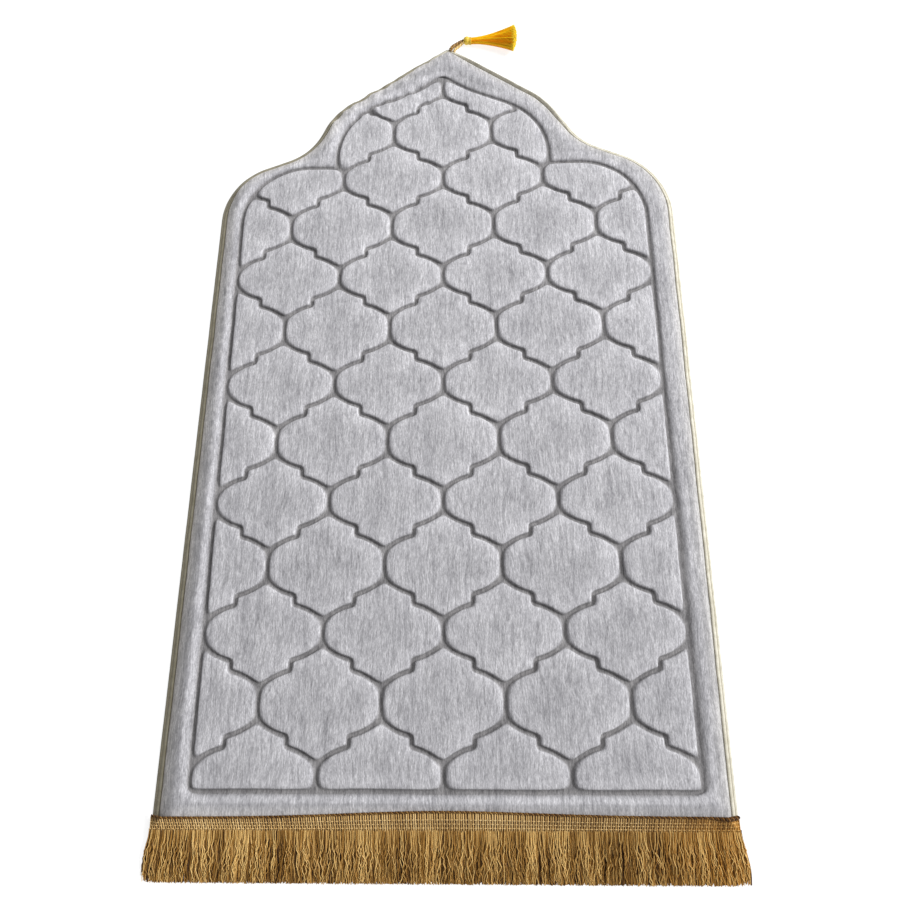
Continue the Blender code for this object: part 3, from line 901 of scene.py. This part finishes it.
def yarn_route(x, number, level, reach_share, liveliness, draw):
    """One loose yarn, from the heading over the edge and out on the floor."""
    outwards = (abs(x) / HEM_HALF_WIDTH) ** FLARE_POWER
    flare = CORNER_FLARE[1] * outwards if x > 0 else -CORNER_FLARE[0] * outwards
    reach = YARN_REACH * reach_share * (1 - 0.05 * draw.random() ** 2)
    reach *= 1 - CORNER_DRAW_IN * outwards ** 6 * draw.random()
    own = 0.0022 * liveliness * (draw.random() - 0.5)
    waves = [(liveliness * height * (0.3 + draw.random()), turns * (0.7 + 0.6 * draw.random()),
              2 * math.pi * draw.random()) for height, turns in YARN_WAVES]
    lift = level + 0.0010 * draw.random()
    turn = 2 * math.pi * draw.random()
    left = HEM_MIDDLE_X + x
    start = -0.0010 + 0.0012 * draw.random()
    root = ROOT_LIFTS[number]
    route = [(hem_point(left, start + 0.0030, -0.0002), 1.0), (hem_point(left, start, root), 1.0)]
    for step in range(1, YARN_STEPS + 1):
        share = step / YARN_STEPS
        along = 0.0032 + (reach - 0.0032) * share
        settle = min(1.0, share * 2.0)
        height = (heading_height(-0.0030) + root) * (1 - settle) + lift * settle
        if share > 0.7:
            height -= 0.6 * lift * (share - 0.7) / 0.3
        height += 0.0006 * math.sin(turn + 7 * share) * share
        side = left + flare * math.sin(0.62 * math.pi * share) + own * share
        side += min(1.0, liveliness) * (1 - outwards) * drawn_to_locks(x, number, share)
        for high, turns, phase in waves:
            side += high * math.sin(phase + 2 * math.pi * turns * share) * min(1.0, 3 * share)
        point = Vector((side, HEM_Y - along, max(height, YARN_LAYERS[number][1])))
        route.append((point, 1.0 - 0.25 * share ** 3))
    return route


# ---------------------------------------------------------------- tassel

def lay_tassel(along, across, up):
    """A place in the tassel, which lies turned a little from straight across the rug."""
    turned = Matrix.Rotation(TASSEL_TURN, 3, "Z") @ Vector((along, across, 0.0))
    return TASSEL_ROOT + turned + Vector((0.0, 0.0, up))


def build_skirt():
    """The tassel's yarns, from the tie to their cut ends."""
    draw = random.Random(23)
    routes, shades = [], []
    golden = math.pi * (3 - math.sqrt(5))
    sag = SKIRT_HEIGHT / 2 + 0.0006 - TASSEL_ROOT.z
    for index in range(SKIRT_YARNS):
        radius = math.sqrt((index + 0.5) / SKIRT_YARNS)
        angle = index * golden
        across, up = radius * math.cos(angle), radius * math.sin(angle)
        bow = 1 + 0.07 * (draw.random() - 0.5)
        phase = 2 * math.pi * draw.random()
        end = 1 - 0.07 * radius ** 2 - 0.03 * draw.random()
        route = []
        for step in range(9):
            share = step / 8
            wide = NECK_RADIUS + (SKIRT_WIDTH / 2 - NECK_RADIUS) * share ** SKIRT_FLARE
            high = NECK_RADIUS + (SKIRT_HEIGHT / 2 - NECK_RADIUS) * share ** SKIRT_FLARE
            sway = 0.0007 * math.sin(phase + 5 * share) * share
            point = lay_tassel(SKIRT_LENGTH * end * share, across * wide * bow + sway,
                               up * high * bow + sag * share)
            point.z = max(point.z, SKIRT_YARN_RADIUS)
            route.append((point, 1.0))
        routes.append(route)
        shades.append(draw.random())
    return yarns("tassel_skirt", routes, SKIRT_YARN_RADIUS, shades)


def build_head():
    """The tied head: a ball of yarn, ridged where its threads run over it."""
    bm = bmesh.new()
    bmesh.ops.create_uvsphere(bm, u_segments=64, v_segments=24, radius=1.0)
    for vert in bm.verts:
        around = math.atan2(vert.co.y, vert.co.x)
        ridge = 1 + 0.05 * math.cos(16 * around) * math.hypot(vert.co.x, vert.co.y)
        vert.co.x *= ridge
        vert.co.y *= ridge
    bmesh.ops.scale(bm, vec=(HEAD_RADIUS, HEAD_RADIUS, 1.05 * HEAD_RADIUS), verts=bm.verts)
    seat = (Matrix.Translation(lay_tassel(-0.0045, 0.0, 0.0004))
            @ Matrix.Rotation(TASSEL_TURN, 4, "Z") @ Matrix.Rotation(math.pi / 2, 4, "Y"))
    bmesh.ops.transform(bm, matrix=seat, verts=bm.verts)
    piece = object_from("tassel_head", bm)
    piece.data.shade_smooth()
    return with_shade(piece, 0.6)


def build_neck():
    """The thread wound round the tassel's neck."""
    route = []
    turns, per_turn = 6, 16
    for step in range(turns * per_turn + 1):
        angle = 2 * math.pi * step / per_turn
        along = -0.0012 + 0.0040 * step / (turns * per_turn)
        place = lay_tassel(along, 0.0052 * math.cos(angle), 0.0050 * math.sin(angle))
        route.append((place, 1.0))
    return yarns("tassel_neck", [route], 0.00048)


def build_loop():
    """The doubled cord from the seam at the tip to the tassel's head."""
    plies = []
    for leg, radius in zip(LOOP_LEGS, LOOP_PLY_RADII):
        points = resampled([Vector(point) for point in leg], 0.0006)
        for route in twisted(points, 2, 0.85 * radius, 0.0070):
            plies.append([(point, radius / LOOP_PLY_RADII[0]) for point, _ in route])
    return yarns("loop_cord", plies, LOOP_PLY_RADII[0], [0.22, 0.38, 0.62, 0.80], sides=6)


# ---------------------------------------------------------------- materials

class Finish:
    """A material with short calls for its nodes."""

    def __init__(self, name, roughness, sheen=0.0, specular=0.3):
        self.material = bpy.data.materials.new(name)
        self.material.use_nodes = True
        self.tree = self.material.node_tree
        self.surface = self.tree.nodes["Principled BSDF"]
        self.surface.inputs["Roughness"].default_value = roughness
        self.surface.inputs["Sheen Weight"].default_value = sheen
        self.surface.inputs["Specular IOR Level"].default_value = specular
        self.place = self.node("ShaderNodeTexCoord").outputs["Object"]

    def node(self, kind, inputs=(), **settings):
        node = self.tree.nodes.new(kind)
        for name, value in settings.items():
            setattr(node, name, value)
        for socket, value in dict(inputs).items():
            if isinstance(value, bpy.types.NodeSocket):
                self.tree.links.new(value, node.inputs[socket])
            else:
                node.inputs[socket].default_value = value
        return node

    def stretched(self, scale, vector=None):
        return self.node("ShaderNodeMapping", {"Vector": vector or self.place, "Scale": scale}
                         ).outputs["Vector"]

    def noise(self, vector, detail=2.0, roughness=0.5, distortion=0.0):
        return self.node("ShaderNodeTexNoise", {
            "Vector": vector, "Scale": 1.0, "Detail": detail, "Roughness": roughness,
            "Distortion": distortion}).outputs["Fac"]

    def ramp(self, value, *stops):
        node = self.node("ShaderNodeValToRGB", {"Fac": value})
        elements = node.color_ramp.elements
        while len(elements) < len(stops):
            elements.new(0.5)
        for element, (position, colour) in zip(elements, stops):
            element.position = position
            element.color = (*colour, 1.0)
        return node.outputs["Color"]

    def mix(self, factor, first, second, how="MIX"):
        node = self.node("ShaderNodeMix", data_type="RGBA", blend_type=how)
        for socket, value in ((0, factor), (6, first), (7, second)):
            if isinstance(value, bpy.types.NodeSocket):
                self.tree.links.new(value, node.inputs[socket])
            else:
                node.inputs[socket].default_value = value if socket == 0 else (*value, 1.0)
        return node.outputs[2]

    def math(self, operation, *values, clamp=False):
        node = self.node("ShaderNodeMath", dict(enumerate(values)), operation=operation)
        node.use_clamp = clamp
        return node.outputs[0]

    def attribute(self, name):
        return self.node("ShaderNodeAttribute", attribute_name=name).outputs["Fac"]

    def shaded_left_share(self, most):
        """A factor for the rug's left side, away from the light, for the painted light and shade that
        differ there.
        """
        across = self.node("ShaderNodeSeparateXYZ", {0: self.place}).outputs["X"]
        return self.node("ShaderNodeMapRange", {
            "Value": across, "From Min": ORIGIN.x - 0.03, "From Max": ORIGIN.x + 0.01,
            "To Min": most, "To Max": 0.0}).outputs[0]

    def finish(self, colour, height=None, strength=0.5, distance=0.001):
        self.tree.links.new(colour, self.surface.inputs["Base Color"])
        if height is not None:
            bump = self.node("ShaderNodeBump", {
                "Height": height, "Strength": strength, "Distance": distance})
            self.tree.links.new(bump.outputs["Normal"], self.surface.inputs["Normal"])
        return self.material


def plush_finish():
    """Short brushed pile: fine grain, soft streaks along the rug and brushed patches."""
    look = Finish("plush", 0.95, sheen=0.15, specular=0.1)
    sway = look.noise(look.stretched((14, 14, 14)), detail=1)
    bend = look.node("ShaderNodeCombineXYZ", {"X": look.math("MULTIPLY", sway, 0.012)}).outputs[0]
    bent = look.node("ShaderNodeVectorMath", {0: look.place, 1: bend}).outputs[0]
    streaks = look.noise(look.stretched((600, 95, 200), bent), detail=2, roughness=0.6)
    grain = look.noise(look.stretched((1050, 320, 600), bent), detail=2, roughness=0.7)
    combed = look.noise(look.stretched((210, 22, 60), bent), detail=1)
    patches = look.noise(look.stretched((40, 17, 20)), detail=2, roughness=0.6)
    pile = look.math("ADD", look.math("MULTIPLY", streaks, 0.5), look.math("MULTIPLY", grain, 0.5))
    base = look.ramp(pile, (0.35, (0.262, 0.258, 0.272)), (0.5, (0.402, 0.397, 0.415)),
                     (0.65, (0.575, 0.570, 0.590)))
    base = look.mix(0.6, base, look.ramp(combed, (0.30, (0.76, 0.76, 0.77)),
                                         (0.58, (1.12, 1.12, 1.12))), "MULTIPLY")
    brushed = look.mix(0.6, base, look.ramp(patches, (0.32, (0.80, 0.80, 0.81)),
                                            (0.68, (1.12, 1.12, 1.12))), "MULTIPLY")
    line = look.noise(look.stretched((95, 8, 60), bent), detail=1)
    line = look.math("ABSOLUTE", look.math("SUBTRACT", line, 0.5))
    brushed = look.mix(1.0, brushed, look.ramp(line, (0.0, (0.84, 0.84, 0.84)),
                                               (0.028, (1.0, 1.0, 1.0))), "MULTIPLY")
    pressed_pile_and_painted_light = look.attribute("pressed_pile_and_painted_light")
    # Partly real and partly painted: a painted highlight along the cells' rims, and darker grooves that
    # are partly the pressed pile's own colour and partly painted shade.
    depth = look.ramp(pressed_pile_and_painted_light, (0.0, (1.0, 1.0, 1.0)), (0.12, (1.24, 1.24, 1.24)),
                      (0.32, (1.24, 1.24, 1.24)), (0.47, (0.98, 0.98, 0.98)),
                      (0.76, (0.70, 0.69, 0.675)), (0.95, (0.58, 0.57, 0.555)))
    colour = look.mix(1.0, brushed, depth, "MULTIPLY")
    # Painted light and shade on the border's outer slope: lighter towards the edge on the right, which
    # faces the light; on the left lighter further in and darker olive at the edge, away from the light.
    edge_light_share = look.attribute("edge_light_share")
    right = look.ramp(edge_light_share, (0.0, (1.0, 1.0, 1.0)), (0.4, (1.10, 1.09, 1.04)),
                      (1.0, (1.20, 1.18, 1.08)))
    left = look.ramp(edge_light_share, (0.0, (1.0, 1.0, 1.0)), (0.18, (1.34, 1.33, 1.29)),
                     (0.6, (1.50, 1.46, 1.34)), (1.0, (0.86, 0.81, 0.66)))
    painted_edge_light_and_shade = look.mix(look.shaded_left_share(1.0), right, left)
    colour = look.mix(1.0, colour, painted_edge_light_and_shade, "MULTIPLY")
    return look.finish(colour, pile, strength=0.35, distance=0.0010)


def back_finish():
    """Plain woven cloth on the underside."""
    look = Finish("backing_cloth", 0.85)
    weave = look.node("ShaderNodeTexChecker", {"Vector": look.stretched((900, 900, 900)),
                                               "Scale": 1.0}).outputs["Fac"]
    wear = look.noise(look.stretched((60, 60, 60)), detail=3)
    base = look.ramp(wear, (0.3, (0.36, 0.36, 0.37)), (0.7, (0.44, 0.44, 0.45)))
    colour = look.mix(look.math("MULTIPLY", weave, 0.25), base, (0.25, 0.25, 0.26))
    return look.finish(colour, weave, strength=0.3, distance=0.0003)


def lip_finish():
    """Cream cloth with a fine grain and soft creases, darker along the left side as painted shade, with
    a darker seam line.
    """
    look = Finish("lip_cloth", 0.8, sheen=0.1)
    grain = look.noise(look.stretched((1200, 1200, 900)), detail=2, roughness=0.6)
    creases = look.noise(look.stretched((110, 110, 60)), detail=3, roughness=0.6)
    base = look.ramp(creases, (0.3, (0.50, 0.47, 0.37)), (0.65, (0.70, 0.67, 0.57)))
    colour = look.mix(0.3, base, look.ramp(grain, (0.3, (0.7, 0.7, 0.7)), (0.7, (1, 1, 1))), "MULTIPLY")
    # Painted shade: the lip is darker along the left side, which faces away from the light.
    colour = look.mix(look.shaded_left_share(0.9), colour, (0.40, 0.38, 0.32), "MULTIPLY")
    # The seam's darker colour in the creases: partly the seam's own, partly painted shade.
    colour = look.mix(look.attribute("seam"), colour, (0.34, 0.30, 0.21))
    return look.finish(colour, look.math("ADD", grain, look.math("MULTIPLY", creases, 2.0)),
                       strength=0.4, distance=0.0006)


def yarn_finish(name, dark, middle, light, grain=0.12, orange=None, tips=None, specular=0.35):
    """Lustrous yarn: each strand has its own shade, with a fine mottling along it.

    Orange is the colour towards the right end, tips the one at the strands' ends.
    """
    look = Finish(name, 0.40, specular=specular)
    mottle = look.noise(look.stretched((500, 260, 500)), detail=2, roughness=0.7)
    wide = look.noise(look.stretched((38, 10, 30)), detail=1)
    along = look.attribute("along")
    shade = look.math("ADD", look.attribute("shade"), look.math(
        "MULTIPLY_ADD", mottle, 2 * grain, -grain))
    shade = look.math("ADD", shade, look.math("MULTIPLY_ADD", wide, 0.5, -0.25))
    colour = look.ramp(shade, (0.15, dark), (0.5, middle), (0.85, light))
    if orange:
        where = look.node("ShaderNodeSeparateXYZ", {0: look.place}).outputs["X"]
        share = look.node("ShaderNodeMapRange", {
            "Value": where, "From Min": 0.22, "From Max": 0.32, "To Max": 0.85}).outputs[0]
        colour = look.mix(share, colour, look.ramp(shade, *orange))
    if tips:
        share = look.node("ShaderNodeMapRange", {
            "Value": along, "From Min": 0.94, "From Max": 1.0, "To Max": 0.8}).outputs[0]
        colour = look.mix(share, colour, tips)
    return look.finish(colour, mottle, strength=0.25, distance=0.0003)


# ---------------------------------------------------------------- scene

def dress():
    """Build every piece, give it its finish and seat it on the model."""
    plush = build_plush()
    make_uneven(plush)
    lip = build_lip()
    make_uneven(lip)
    rust = ((0.15, (0.09, 0.034, 0.006)), (0.5, (0.56, 0.27, 0.045)), (0.85, (0.86, 0.57, 0.20)))
    dark_rust = ((0.15, (0.045, 0.018, 0.004)), (0.5, (0.16, 0.070, 0.015)),
                 (0.85, (0.36, 0.19, 0.06)))
    gold = yarn_finish("fringe_yarn", (0.050, 0.019, 0.004), (0.36, 0.180, 0.034),
                       (0.78, 0.52, 0.19), orange=rust)
    # The heading's cloth is dark as painted shade between the ribs.
    painted_shade_cloth = yarn_finish("heading_cloth", (0.06, 0.028, 0.008), (0.11, 0.055, 0.015),
                        (0.16, 0.08, 0.02), orange=rust)
    heading = yarn_finish("heading_yarn", (0.28, 0.15, 0.048), (0.69, 0.445, 0.17),
                          (0.94, 0.70, 0.35), orange=rust)
    rope = yarn_finish("rope_yarn", (0.07, 0.030, 0.008), (0.23, 0.115, 0.030),
                       (0.46, 0.28, 0.09), orange=dark_rust, specular=0.12)
    skirt = yarn_finish("tassel_yarn", (0.92, 0.33, 0.002), (1.0, 0.51, 0.004),
                        (1.0, 0.68, 0.012), tips=(0.94, 0.80, 0.07), specular=0.15)
    head = yarn_finish("tassel_head_yarn", (0.50, 0.27, 0.01), (0.78, 0.53, 0.05),
                       (0.98, 0.80, 0.16))
    cord = yarn_finish("loop_yarn", (0.10, 0.045, 0.010), (0.40, 0.23, 0.06),
                       (0.78, 0.58, 0.24))
    pieces = {
        plush: (plush_finish(), "plush", ["rug_pad"]),
        lip: (lip_finish(), "binding_cloth", ["edge_binding"]),
        build_heading_cloth(): (painted_shade_cloth, "fringe_yarn", ["fringe"]),
        build_ribs(): (heading, "fringe_yarn", []),
        build_rows(): (heading, "fringe_yarn", []),
        build_rope(): (rope, "fringe_yarn", []),
        build_fringe_layer(0): (gold, "fringe_yarn", []),
        build_fringe_layer(1): (gold, "fringe_yarn", []),
        build_fringe_layer(2): (gold, "fringe_yarn", []),
        build_skirt(): (skirt, "tassel_yarn", ["tassel"]),
        build_head(): (head, "tassel_yarn", []),
        build_neck(): (head, "tassel_yarn", []),
        build_loop(): (cord, "loop_cord", ["tassel_loop"]),
    }
    for piece, (material, slot, nodes) in pieces.items():
        piece.data.transform(Matrix.Translation(ORIGIN))
        piece.data.materials.clear()
        piece.data.materials.append(material)
        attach(piece, "root")
        if nodes:
            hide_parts(*nodes)
    plush.data.materials.append(back_finish())
    for face in plush.data.polygons:
        if face.normal.z < -0.9:
            face.material_index = 1
    return plush


def set_camera():
    camera = bpy.data.cameras.new("camera")
    camera.lens = FOCAL_PIXELS / FRAME_PIXELS * SENSOR
    camera.sensor_width = SENSOR
    holder = bpy.data.objects.new("camera", camera)
    bpy.context.scene.collection.objects.link(holder)
    holder.matrix_world = (Matrix.Translation(ORIGIN + Vector(CAMERA_PLACE))
                           @ Matrix.Rotation(CAMERA_HEADING, 4, "Z")
                           @ Matrix.Rotation(math.pi / 2 - CAMERA_PITCH, 4, "X")
                           @ Matrix.Rotation(CAMERA_ROLL, 4, "Z"))
    bpy.context.scene.camera = holder


def add_lamp(lamp, place, towards):
    """Put a lamp at a place, from the hem line, and turn it towards a direction."""
    holder = bpy.data.objects.new(lamp.name, lamp)
    bpy.context.scene.collection.objects.link(holder)
    turn = Vector(towards).to_track_quat("-Z", "Y").to_matrix().to_4x4()
    holder.matrix_world = Matrix.Translation(ORIGIN + Vector(place)) @ turn


def set_stage():
    """Pale floor, a soft sun from the right, a panel over the arch and light from all round."""
    bm = bmesh.new()
    bmesh.ops.create_grid(bm, x_segments=1, y_segments=1, size=60.0)
    floor = object_from("floor", bm)
    look = Finish("floor", 0.9, specular=0.0)
    look.surface.inputs["Base Color"].default_value = (0.30, 0.30, 0.30, 1.0)
    look.surface.inputs["Emission Color"].default_value = (1.0, 1.0, 1.0, 1.0)
    look.surface.inputs["Emission Strength"].default_value = 0.82
    floor.data.materials.append(look.material)

    lamp = bpy.data.lights.new("lamp", "SUN")
    lamp.energy = 2.95
    lamp.angle = math.radians(12)
    add_lamp(lamp, (0.0, 0.0, 0.0), (-1.0, -0.15, -0.60))
    panel = bpy.data.lights.new("panel", "AREA")
    panel.energy = 20.0
    panel.size = 0.8
    add_lamp(panel, (0.95, 1.55, 1.45), (-0.85, -0.55, -1.45))

    world = bpy.data.worlds.new("studio")
    bpy.context.scene.world = world
    world.use_nodes = True
    world.node_tree.nodes["Background"].inputs["Color"].default_value = (1.0, 1.0, 1.0, 1.0)
    world.node_tree.nodes["Background"].inputs["Strength"].default_value = 0.31
    bpy.context.scene.view_settings.view_transform = "Standard"


set_camera()
dress()
set_stage()
